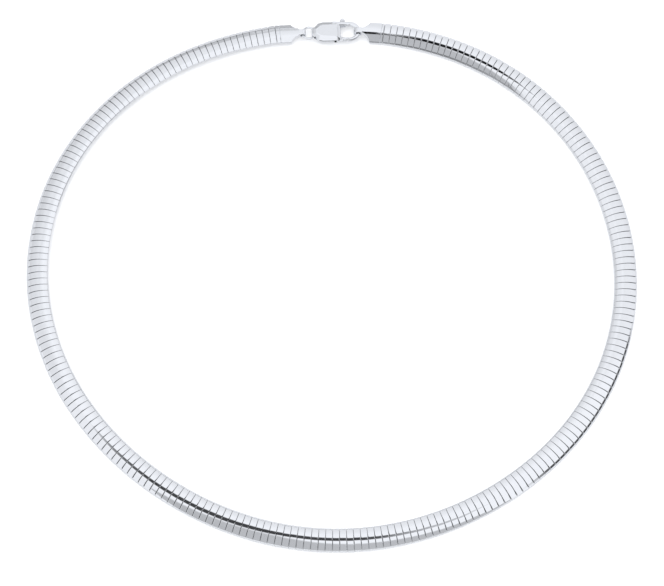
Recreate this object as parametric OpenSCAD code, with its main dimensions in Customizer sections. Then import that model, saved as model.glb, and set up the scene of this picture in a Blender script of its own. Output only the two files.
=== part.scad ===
// Omega necklace, lying flat as a closed oval loop.
// Domed plates ride on a woven ribbon that runs from one end cap to the other,
// and a lobster clasp on a jump ring closes the loop at the far side.
// Millimetres, +Z up, the clasp towards +Y, the floor at Z = 0.

/* [Plates] */
// How many plates run round the neck
plate_count = 247; // [150:1:250]
// Distance from one plate to the next along the middle of the band
plate_pitch = 1.738; // [1.6:0.002:2.2]
// Clear gap between two plates in the middle of the band
plate_gap = 0.2; // [0.2:0.01:0.4]
// Width of the band of plates
band_w = 5.8; // [5:0.1:7]
// Height of the band in its middle
band_h = 1.9; // [1.75:0.05:2.2]
// Radius that rounds the long edges of the band
band_edge_r = 0.55; // [0.45:0.05:0.7]
// Thickness of the plates' sheet
sheet_t = 0.3; // [0.2:0.02:0.35]
// Width of the lip rolled under each long edge
lip_w = 1.3; // [0.9:0.05:1.8]

/* [Loop] */
// Share of the loop's mean radius that its long way stands out by
oval_share = 0.0424; // [0:0.002:0.08]
// Direction of the clasp, turned from +X towards +Y
clasp_at = 90.65; // [85:0.05:95]
// Bulges of the loop: how many there are round it, their height as a share of the
// mean radius, and the direction of the first one
LOBES = [
    [2, oval_share, -4.3],
    [3, 0.0090, 36.9],
    [4, 0.0021, -22.0],
    [5, 0.0019, -18.6],
];
// Tilt of the band along its run, right cap to left cap: share of the run, and
// the angle by which the outer edge stands higher than the inner one
TILTS = [
    [0.00, 12], [0.02, 15.5], [0.05, 16.5], [0.09, 15.5], [0.13, 12.5], [0.23, 9], [0.37, -4],
    [0.45, -6.5], [0.53, -9], [0.62, -7.5], [0.70, -11], [0.78, -12], [0.96, -13], [1.00, -7],
];

/* [Woven ribbon] */
// Clear space on each side of the ribbon, inside the plates' sheet
ribbon_side = 0.25; // [0.2:0.01:0.6]
// Thickness of the ribbon at its edges
ribbon_t = 0.3; // [0.2:0.05:0.4]
// How much thicker the ribbon is in its middle
ribbon_crown = 0.22; // [0:0.02:0.3]
// Clear space kept round the ribbon
ribbon_gap = 0.12; // [0.1:0.01:0.15]

/* [End caps] */
// Length of the left cap's sleeve over the ribbon
left_sleeve_l = 4; // [3:0.1:6]
// Length of the right cap's sleeve over the ribbon
right_sleeve_l = 3.6; // [3:0.1:6]
// Wall of the sleeves
sleeve_t = 0.35; // [0.25:0.05:0.4]
// Depth of the ribbon's pocket in each sleeve
pocket_l = 2.6; // [1.6:0.1:2.8]
// Width of the left cap's lip at its mouth
left_lip = 1; // [0.4:0.05:1.4]
// Width of the right cap's lip at its mouth
right_lip = 0.55; // [0.4:0.05:1.4]
// Depth and width of the groove behind each lip
groove_w = 0.14; // [0.1:0.02:0.2]
// Length over which the left cap narrows to its tongue
left_shoulder_l = 1.5; // [1.2:0.1:3]
// Length over which the right cap narrows to its loop
right_shoulder_l = 2.1; // [1.2:0.1:3]
// Radius of the hollow curve in plan at the shoulders
shoulder_r = 3.4; // [2.2:0.1:6]
// Width of the left cap's tongue
tongue_w = 2.6; // [2:0.1:3.2]
// Length of the left cap's tongue before its eye
tongue_l = 0.75; // [0.4:0.05:1.5]
// Width of the left cap's folded eye
eye_w = 1.5; // [1.2:0.05:1.6]
// Bore of that eye, which the jump ring passes
eye_bore = 1.3; // [1.25:0.05:1.5]
// Width of the right cap's folded loop
catch_w = 1.5; // [1.2:0.05:1.6]
// Bore of that loop, which the hook passes
catch_bore = 1.8; // [1.6:0.05:1.8]
// Thickness of the folded strip round eye and loop
fold_t = 0.3; // [0.25:0.02:0.34]
// Angle by which the left cap turns from the clasp's line towards the loop
left_turn = 2; // [0:0.5:6]
// Angle by which the right cap turns from the clasp's line towards the loop
right_turn = 4.5; // [0:0.5:6]

/* [Jump ring] */
// Radius of the jump ring to the middle of its wire
ring_r = 1.65; // [1.6:0.05:2.2]
// Thickness of the ring's wire
ring_wire = 0.65; // [0.5:0.05:0.65]
// Clear space kept between linked pieces
link_gap = 0.1; // [0.1:0.01:0.12]
// How far the ring hangs below the middle of the eyes
ring_drop = 0.1; // [0:0.02:0.14]

/* [Clasp] */
// Length of the clasp over tail and hook
clasp_l = 13.2; // [12.8:0.05:15]
// Width of the clasp
clasp_w = 5.9; // [5.2:0.05:6.2]
// Thickness of the clasp's body
clasp_t = 2.6; // [2.6:0.05:3]
// Width of the bevel round both flat faces
bevel_w = 0.9; // [0.2:0.05:0.95]
// Depth of that bevel
bevel_h = 0.75; // [0.2:0.05:0.8]
// Length of the body from the tail eye to the window
body_l = 7; // [6.8:0.05:7.3]
// Width of the hook's bar
hook_w = 1.15; // [0.9:0.05:1.25]
// Thickness of the hook's bar
hook_t = 1.1; // [0.9:0.05:1.1]
// Width of the tail eye
tail_w = 1.3; // [1:0.05:1.4]
// Bore of the tail eye
tail_bore = 1.3; // [1.2:0.05:1.4]
// Wall round the tail eye
tail_wall = 0.3; // [0.25:0.05:0.4]
// Stations of the body's outline: share of body_l from the tail eye, share of
// clasp_w off the middle line, and corner radius as a share of clasp_w
STATIONS = [
    [0.050, 0.093, 0.220],
    [0.207, 0.220, 0.245],
    [0.330, 0.260, 0.245],
    [0.600, 0.260, 0.245],
    [1.004 - 0.195 * clasp_w / body_l, 0.310, 0.195],
];

/* [Lever] */
// Thickness of the lever's plate inside the body
lever_t = 0.7; // [0.5:0.05:0.8]
// Clear space above and below the lever's plate
lever_gap = 0.1; // [0.08:0.01:0.12]
// Diameter of the pivot pin
pin_d = 0.8; // [0.6:0.05:0.9]
// Clear space round the pin
pin_gap = 0.05; // [0.02:0.01:0.08]
// Wall of the lever's hub round its bore
hub_wall = 0.4; // [0.3:0.05:0.45]
// Distance of the pin from the body's front edge
pin_back = 1.1; // [1.05:0.05:1.2]
// Distance of the pin from the middle line, towards the gate
pin_off = 1.15; // [1.1:0.05:1.3]
// Distance of the gate's closing face behind the hook's centre
tip_back = 0.4; // [0.2:0.05:0.5]
// Slope of the gate's closing face
tip_slope = 55; // [45:1:58]
// Clear space at the gate's closing face and root
gate_gap = 0.12; // [0.1:0.01:0.15]
// Width of the thumb nub
nub_w = 1.3; // [1:0.05:1.5]
// Height that the thumb nub stands out from the hook
nub_h = 1; // [0.5:0.05:1.1]

/* [Hidden] */
silver = [0.86, 0.87, 0.89];
pale_silver = [0.92, 0.92, 0.93];
grey_silver = [0.7, 0.71, 0.73];
eps = 0.01;
// How far cutting shapes run past what they cut
run_out = 1;
// Half of the run over which the band's heading is taken
near = 0.5;
// How far the ribbon's ends stay short of their pockets, and its first ring in a cap
ribbon_end = 0.2;
ribbon_start = 0.8;

// Clasp layout: x runs from the tail eye to the hook, y outwards from the loop
mid_z = clasp_t / 2;
eye_r = tail_bore / 2 + tail_wall;
hook_r = clasp_w / 2;
hook_x = clasp_l - eye_r - hook_r;
bow_r = hook_r - hook_w / 2;
pin_x = body_l - pin_back;
slot_h = lever_t + 2 * lever_gap;
hub_r = pin_d / 2 + pin_gap + hub_wall;
nub_lead = 0.5;
nub_x = body_l + nub_lead;
arm_in = hook_r - hook_w;
tip_x = hook_x - tip_back;
// Where the arm's taper starts behind the body's front, and its swelling there
arm_root = 2.2;
arm_swell = 1.3;
// Straight end of the hook's bar, root of the tail eye, and the pin's seat in the walls
hook_end_l = 1.5;
tail_root_l = 1.2;
pin_seat = 0.2;
// Clear space round the ring's wire in the body's nose
tunnel_gap = 0.16;
// Room beside the lever's parts, behind its heel, past the front edge and under the arm
side_gap = 0.15;
heel_room = 2.15;
front_room = 0.4;
arm_room = 0.35;
// Overlap of the lever's web with its hub and its gate
web_root = 0.3;

// A curved wire, pulled tight in a straight bore, keeps link_gap from the wall
function wire_sag(radius, width) = radius - sqrt(radius * radius - width * width / 4);
function wire_pull(bore, width) =
    sqrt(pow((bore - ring_wire) / 2 - link_gap, 2) - ring_drop * ring_drop) - wire_sag(ring_r, width);
ring_to_eye = ring_r + wire_pull(eye_bore, eye_w);
ring_to_tail = ring_r + wire_pull(tail_bore, tail_w);
bow_in = sqrt(arm_in * arm_in - catch_w * catch_w / 4);
catch_x = hook_x + (bow_in + hook_r) / 2;

// Reach of each cap from the last gap line to the middle of its eye
eye_out = eye_bore / 2 + fold_t;
catch_out = catch_bore / 2 + fold_t;
left_reach = plate_gap / 2 + left_sleeve_l + left_shoulder_l + tongue_l + eye_out;
right_reach = plate_gap / 2 + right_sleeve_l + right_shoulder_l + catch_out;
clasp_span = ring_to_eye + ring_to_tail + catch_x;
fastening_l = left_reach * cos(left_turn) + clasp_span + right_reach * cos(right_turn);
plates_l = plate_count * plate_pitch;

// The loop as a unit shape, walked clockwise from the clasp in even steps
function lobes_from(k, a) = k == len(LOBES) ? 0
    : LOBES[k][1] * cos(LOBES[k][0] * (a - LOBES[k][2])) + lobes_from(k + 1, a);
function bulge(a) = 1 + lobes_from(0, a);
function unit_point(turn) = bulge(clasp_at - turn) * [cos(clasp_at - turn), sin(clasp_at - turn)];
walk_step = 2;
walk = [for (turn = 0, run = 0; turn <= 360;
             run = run + norm(unit_point(turn + walk_step) - unit_point(turn)), turn = turn + walk_step)
        [turn, run]];
turns = [for (row = walk) [row[1], row[0]]];
function rest_run(half) = lookup(360 - half, walk) - lookup(half, walk);
function chord(half) = norm(unit_point(half) - unit_point(-half));
// Half the angle of the clasp's opening, at which chord and plates share the loop
half_turn = lookup(fastening_l / plates_l, [for (half = [4:1:60]) [chord(half) / rest_run(half), half]]);
loop_r = plates_l / rest_run(half_turn);

// Places on the band, by distance from the right-hand end of the plates
function band_turn(s) = lookup(lookup(half_turn, walk) + s / loop_r, turns);
function raw_point(s) = loop_r * unit_point(band_turn(s));
function band_heading(s) = let (d = raw_point(s + near) - raw_point(s - near)) atan2(d[1], d[0]);
function band_tilt(s) = lookup(s / plates_l, TILTS);

// The loop's box, so that its middle comes to lie on the origin
edge = band_w / 2;
rim = [for (k = [0:4:plate_count]) raw_point(k * plate_pitch)];
far_y = max(max([for (p = rim) p[1]]) + edge, raw_point(0)[1] + hook_r + nub_h);
loop_mid = [(min([for (p = rim) p[0]]) + max([for (p = rim) p[0]])) / 2,
            (min([for (p = rim) p[1]]) - edge + far_y) / 2];
function band_point(s) = raw_point(s) - loop_mid;

// Section of the band: a dome whose ends run into the rounded long edges
half_flat = band_w / 2 - band_edge_r;
rise = band_h - 2 * band_edge_r;
arc_r = (half_flat * half_flat + rise * rise) / (2 * rise);
// Height at which a tilted section just touches the floor
function lift(tilt) = half_flat * abs(sin(tilt)) + band_edge_r * (1 - cos(tilt));

module band_outline(inset) {
    edge_r = band_edge_r - inset;
    centre_y = band_edge_r + rise - arc_r;
    for (side = [-1, 1]) translate([side * half_flat, band_edge_r]) circle(r = edge_r, $fn = 32);
    translate([-half_flat, inset]) square([2 * half_flat, edge_r]);
    intersection() {
        translate([0, centre_y]) circle(r = arc_r + edge_r, $fn = 96);
        polygon([[0, centre_y],
                 [2 * half_flat, centre_y + 2 * (band_edge_r - centre_y)],
                 [-2 * half_flat, centre_y + 2 * (band_edge_r - centre_y)]]);
        translate([-half_flat * 2, inset]) square([4 * half_flat, band_h]);
    }
}

module along(length) {
    rotate([90, 0, 90]) linear_extrude(height = length) children();
}

module plate() {
    length = plate_pitch - plate_gap;
    translate([-length / 2, 0, 0]) along(length) difference() {
        band_outline(0);
        band_outline(sheet_t);
        translate([lip_w - edge, -eps]) square([band_w - 2 * lip_w, sheet_t + 2 * eps]);
    }
}

module plates() {
    color(silver) for (k = [0:plate_count - 1]) {
        s = (k + 0.5) * plate_pitch;
        p = band_point(s);
        translate([p[0], p[1], lift(band_tilt(s))])
            rotate([0, 0, band_heading(s)]) rotate([band_tilt(s), 0, 0]) plate();
    }
}

// Ends of the plates and the line of the clasp between them
right_end = band_point(0);
left_end = band_point(plates_l);
line_heading = atan2(right_end[1] - left_end[1], right_end[0] - left_end[0]);
left_heading = line_heading + left_turn;
right_heading = line_heading - right_turn;
function ray(heading) = [cos(heading), sin(heading)];
left_eye = left_end + left_reach * ray(left_heading);
right_eye = right_end - right_reach * ray(right_heading);
clasp_heading = atan2(right_eye[1] - left_eye[1], right_eye[0] - left_eye[0]);
ring_at = left_eye + ring_to_eye * ray(clasp_heading);
tail_at = ring_at + ring_to_tail * ray(clasp_heading);
left_tilt = band_tilt(plates_l);
right_tilt = band_tilt(0);

// The ribbon is swept through one ring at each gap and two in each cap
ribbon_w = band_w - 2 * sheet_t - 2 * ribbon_side;
ribbon_z = sheet_t + ribbon_gap;
RIBBON = [
    [-ribbon_w / 2, ribbon_z], [ribbon_w / 2, ribbon_z],
    [ribbon_w / 2, ribbon_z + ribbon_t],
    [ribbon_w / 4, ribbon_z + ribbon_t + ribbon_crown],
    [-ribbon_w / 4, ribbon_z + ribbon_t + ribbon_crown],
    [-ribbon_w / 2, ribbon_z + ribbon_t],
];
function section_at(p, heading, tilt) = [for (q = RIBBON)
    let (out = q[0] * cos(tilt) - q[1] * sin(tilt), up = q[0] * sin(tilt) + q[1] * cos(tilt))
    [p[0] - out * sin(heading), p[1] + out * cos(heading), up + lift(tilt)]];
function in_cap(end, heading, tilt, way, depth) =
    section_at(end + way * (plate_gap / 2 + depth) * ray(heading), heading, tilt);

module mesh_ribbon() {
    deep = pocket_l - ribbon_end;
    rings = concat(
        [in_cap(right_end, right_heading, right_tilt, -1, deep)],
        [in_cap(right_end, right_heading, right_tilt, -1, ribbon_start)],
        [for (k = [0:plate_count]) let (s = k * plate_pitch)
            section_at(band_point(s), band_heading(s), band_tilt(s))],
        [in_cap(left_end, left_heading, left_tilt, 1, ribbon_start)],
        [in_cap(left_end, left_heading, left_tilt, 1, deep)]);
    n = len(RIBBON);
    last = len(rings) - 1;
    color(grey_silver) polyhedron(
        points = [for (ring = rings) for (p = ring) p],
        faces = concat(
            [[for (i = [0:n - 1]) i]],
            [for (k = [0:last - 1]) for (i = [0:n - 1]) let (j = (i + 1) % n)
                [k * n + j, k * n + i, (k + 1) * n + i, (k + 1) * n + j]],
            [[for (i = [n - 1:-1:0]) last * n + i]]));
}

// Plan of a cap: straight sleeve, then a hollow curve on each side down to the neck
module cap_plan(sleeve_l, shoulder_l, neck_w, length) {
    step = edge - neck_w / 2;
    span = sqrt(shoulder_l * shoulder_l + step * step);
    bow = sqrt(shoulder_r * shoulder_r - span * span / 4);
    centre = [sleeve_l + shoulder_l / 2 + bow * step / span,
              (edge + neck_w / 2) / 2 + bow * shoulder_l / span];
    difference() {
        translate([-run_out, -edge - run_out])
            square([run_out + sleeve_l + shoulder_l, band_w + 2 * run_out]);
        for (side = [-1, 1]) intersection() {
            translate([centre[0], side * centre[1]]) circle(r = shoulder_r, $fn = 96);
            translate([sleeve_l, side > 0 ? neck_w / 2 : -band_w])
                square([shoulder_l + run_out, band_w - neck_w / 2]);
        }
    }
    translate([sleeve_l, -neck_w / 2]) square([length - sleeve_l, neck_w]);
}

// A cap drawn from the last gap line at x = 0 to the middle of its eye. Its mouth
// is cut parallel to the last plate, whose heading differs by bend.
module end_cap(sleeve_l, lip, shoulder_l, neck_w, reach, tilt, bend, strip_w, bore) {
    out_r = bore / 2 + fold_t;
    body_end = reach - out_r;
    length = body_end + fold_t;
    difference() {
        union() {
            difference() {
                intersection() {
                    translate([-run_out, 0, lift(tilt)]) rotate([tilt, 0, 0]) difference() {
                        along(length + run_out) band_outline(0);
                        translate([run_out + plate_gap / 2 + lip, 0, 0])
                            along(groove_w) difference() {
                            translate([-band_w, -band_w]) square(2 * band_w);
                            band_outline(groove_w);
                        }
                    }
                    translate([plate_gap / 2, 0, -run_out]) linear_extrude(height = 2 * clasp_t)
                        cap_plan(sleeve_l, shoulder_l, neck_w, length - plate_gap / 2);
                }
                // The underside rises from the sleeve to the folded strip
                translate([sleeve_l + plate_gap / 2, -band_w, 0])
                    rotate([0, -atan2(mid_z - fold_t, body_end - sleeve_l), 0])
                    translate([0, 0, -band_w]) cube([band_w, 2 * band_w, band_w]);
            }
            translate([body_end - fold_t, -strip_w / 2, mid_z - fold_t])
                cube([out_r, strip_w, fold_t + out_r / 2]);
            translate([reach, strip_w / 2, mid_z]) rotate([90, 0, 0])
                cylinder(r = out_r, h = strip_w, $fn = 48);
        }
        translate([reach, band_w / 2, mid_z]) rotate([90, 0, 0])
            cylinder(r = bore / 2, h = band_w, $fn = 48);
        translate([-run_out - eps, 0, lift(tilt)]) rotate([tilt, 0, 0])
            along(pocket_l + run_out) band_outline(sleeve_t);
        rotate([0, 0, bend]) translate([plate_gap / 2 - band_w, -band_w, -run_out])
            cube([band_w, 2 * band_w, 2 * clasp_t]);
    }
}

module end_cap_left() {
    color(pale_silver) translate([left_end[0], left_end[1], 0]) rotate([0, 0, left_heading])
        end_cap(left_sleeve_l, left_lip, left_shoulder_l, tongue_w, left_reach, left_tilt,
                band_heading(plates_l) - left_heading, eye_w, eye_bore);
}

module end_cap_right() {
    color(pale_silver) translate([right_end[0], right_end[1], 0]) rotate([0, 0, right_heading + 180])
        end_cap(right_sleeve_l, right_lip, right_shoulder_l, catch_w, right_reach, -right_tilt,
                band_heading(0) - right_heading, catch_w, catch_bore);
}

module jump_ring() {
    color(silver) translate([ring_at[0], ring_at[1], mid_z - ring_drop])
        rotate_extrude($fn = 64) translate([ring_r, 0]) circle(d = ring_wire, $fn = 24);
}

// Section of the hook's bar, an oblong with broken corners
module bar_outline(w, h) {
    c = w * 0.24;
    polygon([[-w / 2 + c, -h / 2], [w / 2 - c, -h / 2], [w / 2, -h / 2 + c], [w / 2, h / 2 - c],
             [w / 2 - c, h / 2], [-w / 2 + c, h / 2], [-w / 2, h / 2 - c], [-w / 2, -h / 2 + c]]);
}

// Everything on the gate's side of its sloping closing face
module gate_side(gap) {
    translate([tip_x, -bow_r, -eps]) rotate([0, 0, tip_slope])
        translate([-clasp_w, gap, 0]) cube([2 * clasp_w, 2 * clasp_w, clasp_t + 2 * eps]);
}

// Space for the lever: the hub's pocket, the nub's slot and the gate's way out
module lever_space() {
    low = hub_r + gate_gap;
    nub_end = nub_x + nub_w / 2 + side_gap;
    front = body_l + front_room;
    translate([0, 0, mid_z - slot_h / 2]) linear_extrude(height = slot_h) polygon([
        [pin_x - heel_room, hook_r], [pin_x - heel_room, clasp_w], [nub_end, clasp_w],
        [nub_end, arm_in - arm_room], [front, arm_in - arm_room],
        [front, -clasp_w], [pin_x - arm_room, -clasp_w],
        [pin_x - low, -pin_off - low / 2], [pin_x - low, -pin_off],
    ]);
}

module clasp_shell() {
    hull() for (row = STATIONS) for (side = [-1, 1])
        translate([row[0] * body_l, side * row[1] * clasp_w, 0]) {
            translate([0, 0, bevel_h])
                cylinder(r = row[2] * clasp_w, h = clasp_t - 2 * bevel_h, $fn = 48);
            cylinder(r = row[2] * clasp_w - bevel_w, h = clasp_t, $fn = 48);
        }
    // The arm tapers from the body's shoulder to the hook's bar
    hull() {
        translate([body_l - arm_root, hook_r - hook_w * arm_swell / 2, mid_z]) along(2 * eps)
            bar_outline(hook_w * arm_swell, clasp_t - bevel_h);
        translate([hook_x - eps, bow_r, mid_z]) along(2 * eps) bar_outline(hook_w, hook_t);
    }
}

module hook_bow() {
    difference() {
        union() {
            translate([hook_x, 0, mid_z]) rotate([0, 0, -90])
                rotate_extrude(angle = 180, $fn = 64) translate([bow_r, 0]) bar_outline(hook_w, hook_t);
            translate([hook_x - hook_end_l, -bow_r, mid_z]) along(hook_end_l)
                bar_outline(hook_w, hook_t);
        }
        intersection() {
            gate_side(-gate_gap / 2);
            translate([0, -clasp_w, -eps]) cube([clasp_l, clasp_w, clasp_t + run_out]);
        }
    }
}

module at_tail() {
    translate([tail_at[0], tail_at[1], 0]) rotate([0, 0, clasp_heading]) children();
}

module clasp_body() {
    color(silver) at_tail() {
        difference() {
            union() {
                clasp_shell();
                translate([0, tail_w / 2, mid_z]) rotate([90, 0, 0])
                    cylinder(r = eye_r, h = tail_w, $fn = 48);
                translate([0, -tail_w / 2, mid_z - eye_r])
                    cube([tail_root_l, tail_w, 2 * eye_r]);
            }
            // The bore runs right through the nose, and the ring's curve leaves it sideways
            translate([0, hook_r, mid_z]) rotate([90, 0, 0])
                cylinder(d = tail_bore, h = clasp_w, $fn = 48);
            translate([-ring_to_tail, 0, mid_z - ring_drop]) rotate_extrude($fn = 96)
                translate([ring_r, 0]) circle(r = ring_wire / 2 + tunnel_gap, $fn = 32);
            lever_space();
        }
        hook_bow();
        translate([pin_x, -pin_off, mid_z - slot_h / 2 - pin_seat])
            cylinder(d = pin_d, h = slot_h + 2 * pin_seat, $fn = 32);
    }
}

// Plan of the lever's plate: hub, shank under the arm, foot of the nub and web
module lever_plan() {
    shank_w = hub_r * 1.2;
    foot_w = nub_w - side_gap;
    low = arm_in + side_gap;
    high = hook_r - side_gap;
    root = body_l + gate_gap + web_root;
    translate([pin_x, -pin_off]) circle(r = hub_r, $fn = 32);
    translate([pin_x - shank_w / 2, -pin_off]) square([shank_w, pin_off + high]);
    translate([pin_x, low]) square([nub_x + foot_w / 2 - pin_x, high - low]);
    translate([nub_x - foot_w / 2, low]) square([foot_w, hook_r + nub_h / 2 - low]);
    // The web fills the slot's open side, so that no hole shows beside the gate
    web = pin_x - arm_room + gate_gap;
    polygon([[web, -pin_off], [web, -hook_r + gate_gap],
             [root, -hook_r + gate_gap], [root, -arm_in], [pin_x + hub_r, -pin_off]]);
}

module clasp_lever() {
    root_x = body_l + gate_gap;
    color(pale_silver) at_tail() {
        difference() {
            translate([0, 0, mid_z - lever_t / 2]) linear_extrude(height = lever_t) lever_plan();
            translate([pin_x, -pin_off, 0]) cylinder(r = pin_d / 2 + pin_gap, h = clasp_t, $fn = 32);
        }
        difference() {
            translate([root_x, -bow_r, mid_z]) along(hook_x - root_x + run_out)
                bar_outline(hook_w, hook_t);
            difference() {
                translate([0, -clasp_w, -eps]) cube([2 * clasp_l, clasp_w, clasp_t + eps]);
                gate_side(gate_gap / 2);
            }
        }
        intersection() {
            translate([nub_x, hook_r + nub_h - nub_w / 2, mid_z - hook_t / 2])
                cylinder(d = nub_w, h = hook_t, $fn = 32);
            translate([nub_x - nub_w, hook_r + gate_gap, 0]) cube([2 * nub_w, 2 * nub_w, clasp_t]);
        }
    }
}

plates();
mesh_ribbon();
end_cap_left();
end_cap_right();
jump_ring();
clasp_body();
clasp_lever();
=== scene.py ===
"""Omega necklace lying as a closed loop: polished domed plates on a woven ribbon,
two end caps, a jump ring and a lobster clasp, on a pale floor in soft light."""

import math
from types import SimpleNamespace

import bmesh
import bpy
import numpy as np
from bpy.props import FloatProperty, FloatVectorProperty, IntProperty, PointerProperty
from mathutils import Matrix


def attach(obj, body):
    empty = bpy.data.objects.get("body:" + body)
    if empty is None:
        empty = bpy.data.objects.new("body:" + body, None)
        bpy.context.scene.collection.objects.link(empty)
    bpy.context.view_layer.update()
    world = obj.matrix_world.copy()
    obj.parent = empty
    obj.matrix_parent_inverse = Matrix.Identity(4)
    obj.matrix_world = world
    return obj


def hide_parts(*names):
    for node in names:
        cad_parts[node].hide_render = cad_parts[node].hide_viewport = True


bl_info = {
    "name": "Omega Necklace",
    "version": (1, 0, 0),
    "blender": (4, 5, 0),
    "location": "View3D > Sidebar > Necklace",
    "description": "Builds a lying omega necklace with its lobster clasp",
    "category": "Add Mesh",
}

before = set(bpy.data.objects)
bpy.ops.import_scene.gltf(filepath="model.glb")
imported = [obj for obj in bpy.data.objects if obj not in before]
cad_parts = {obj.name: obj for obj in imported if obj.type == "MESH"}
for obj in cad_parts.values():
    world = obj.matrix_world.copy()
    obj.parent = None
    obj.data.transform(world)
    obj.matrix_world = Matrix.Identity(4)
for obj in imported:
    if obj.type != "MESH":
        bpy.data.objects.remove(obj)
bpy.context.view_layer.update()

MM = 0.001
# Bulges of the loop: how many there are, height as a share of the radius, direction
LOBES = ((2, 0.0424, -4.3), (3, 0.0090, 36.9), (4, 0.0021, -22.0), (5, 0.0019, -18.6))
# Tilt of the band along its run: share of the run, degrees the outer edge stands up
TILTS = (
    (0.00, 12), (0.02, 15.5), (0.05, 16.5), (0.09, 15.5), (0.13, 12.5), (0.23, 9), (0.37, -4),
    (0.45, -6.5), (0.53, -9), (0.62, -7.5), (0.70, -11), (0.78, -12), (0.96, -13), (1.00, -7),
)

# Black flags over the ring, in millimetres: x, y, half the width, darkness
STRIPES = {
    "flag_front": (
        (-92, -43, 5, 0.0), (-84, -48, 8, 0.6), (-75, -53, 9, 0.85), (-65, -59, 10, 0.95),
        (-55, -63.5, 11, 0.95), (-42, -67, 12, 0.95), (-30, -68, 11.5, 0.95), (-17, -67.5, 10, 0.95),
        (-5, -69, 10, 0.95), (7, -71.5, 9.5, 0.95), (16, -74, 8, 0.9), (26, -77, 6.5, 0.6),
        (38, -78, 6, 0.45), (48, -78, 5.5, 0.4), (60, -76, 5, 0.0),
    ),
    "flag_right": (
        (13, 67, 4, 0.3), (15, 66.5, 7, 0.6), (18.5, 64, 10, 1), (23.5, 61, 10, 1),
        (28, 57, 9, 1), (31.5, 51.5, 7, 1), (32.5, 48, 5, 0.0),
    ),
    "flag_cap": ((1.5, 63, 8, 0.0), (3, 63, 8, 1), (12.3, 64, 8, 1), (12.9, 64, 8, 0.0)),
}
# Grey flags: height, darkness, softness of the near edge as a share of the way across, then
# points of the near and the far edge, all lengths in millimetres
GREY_FLAGS = {
    "flag_inner": (8, 0.46, 0.03, (
        (2, 68.8, 0, 0), (7.7, 68.8, 0, 0), (14, 68.7, 2, 0), (23.7, 66.3, 5, 0), (33.3, 61.8, 8, 0),
        (40, 55.8, 5, 0), (43.7, 51, 0, 5), (46, 45.7, 0, 15),
    )),
    "flag_near": (60, 0.46, 0.025, (
        (-130, -137, -520, -630), (-110, -109, -440, -574), (-80, -93, -320, -542),
        (-60, -85, -240, -526), (-45, -80, -180, -516), (-20, -78, -80, -512), (-8, -89, -32, -534),
        (5, -100, 20, -556), (30, -107, 120, -570), (80, -127, 320, -610), (130, -157, 520, -670),
        (180, -187, 720, -730),
    )),
    "flag_left": (60, 0.12, 0.06, (
        (5, 95, 30, 570), (-35, 55, -210, 330), (-62, 20, -370, 120), (-72, -8, -430, -50),
        (-100, -35, -600, -210),
    )),
    "flag_side": (60, 0.08, 0.06, (
        (20, 80, 120, 480), (40, 45, 240, 270), (43, 20, 300, 120), (45, 0, 400, 10),
        (66, -14, 420, -70),
    )),
    "flag_back": (60, 0.32, 0.05, (
        (10, 165, 12, 640), (6, 150, 8, 640), (-5, 128, -20, 620), (-12, 122, -48, 600),
        (-28, 122, -112, 580), (-74, 165, -300, 520), (-120, 200, -420, 400),
    )),
    "flag_low": (12, 0.45, 0.08, (
        (10, 115, 12, 500), (4, 115, 5, 500), (-30, 112, -130, 480), (-75, 98, -330, 420),
        (-108, 72, -430, 280), (-125, 50, -480, 190),
    )),
    "flag_top": (60, 0.08, 0.05, (
        (-7.5, 89.5, -7.5, 128), (-5.5, 89.5, -5.5, 128), (4.5, 90, 4.5, 128), (6.5, 90, 6.5, 128),
    )),
}
# Painted shadow on the floor that the silver sees: a darker part behind the clasp, in place of
# the clasp's shadow there. An axis, and in millimetres where the part begins and where it is full
CLASP_SHADOW_IN_SILVER = (("y", 69, 73), ("x", -22, -14), ("x", 12, 6))
# Dim patch of the room, low on the right: the way it is measured, and in degrees where it
# begins and where it is full
DIM_PATCH = (("up", 12, 16), ("up", 34, 31), ("round", -42, -32), ("round", 10, 4))
# Where the room's light starts to fall and where it is lowest: towards the far end in degrees
# past the upright, and towards the left in the x of a direction
FAR_FADE, LEFT_FADE = (15, 60), (-0.3, -0.6)
# Section of a black flag: shares of its half width and of its darkness
FLAG_SECTION = ((-1.2, 0), (-0.8, 1), (0.8, 1), (1.2, 0))
FLAG_BLACK = (0.006, 0.006, 0.007, 1)
# Tint of the floor's cooler spots, and how bright the silver's duller spots are
COOL_SPOT, DULL_SPOT = (0.99, 0.995, 1.0), 0.97
# Fineness of the floor's spots, of the silver's uneven polish and of its grain
FLOOR_NOISE, POLISH_NOISE, GRAIN_NOISE = 6.0, 420.0, 3500.0
# How far the silver's roughness varies, as a share, and the grain's depth in millimetres
POLISH_SPREAD, GRAIN_DEPTH = 0.25, 0.02

# How much single plates lean about the run, across it and about the upright
LEANS = (1.0, 0.6, 0.3)
# Steps of a cap's section over the dome and round each edge
DOME_STEPS, EDGE_STEPS = 24, 8
# A groove's side, from outside: distance from its edge and depth, in millimetres
GROOVE_SIDE = ((0.1, 0.0), (0.04, 0.004), (0.0, 0.03))
# Discs that the clasp's outline wraps: x in body lengths, y and radius in clasp widths. For the
# front one x is where the disc's front stands
BODY_DISCS = ((0.050, 0.093, 0.220), (0.207, 0.220, 0.245), (0.330, 0.260, 0.245),
              (0.600, 0.260, 0.245))
FRONT_DISC = (1.004, 0.310, 0.195)
BEVEL_STEPS = 6
# Upper half of the nub's section: shares of its half width and half height
NUB_LEVELS = ((1.0, 0.3), (0.97, 0.62), (0.86, 0.88), (0.62, 1.0))


# Settings


def length(name, description, millimetres):
    return FloatProperty(name=name, description=description, default=millimetres * MM,
                         unit="LENGTH", precision=5, min=0.0)


def angle(name, description, degrees):
    return FloatProperty(name=name, description=description, default=math.radians(degrees),
                         unit="ROTATION")


def colour(name, description, rgb):
    return FloatVectorProperty(name=name, description=description, default=rgb,
                               subtype="COLOR", size=3, min=0.0, max=1.0)


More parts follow.
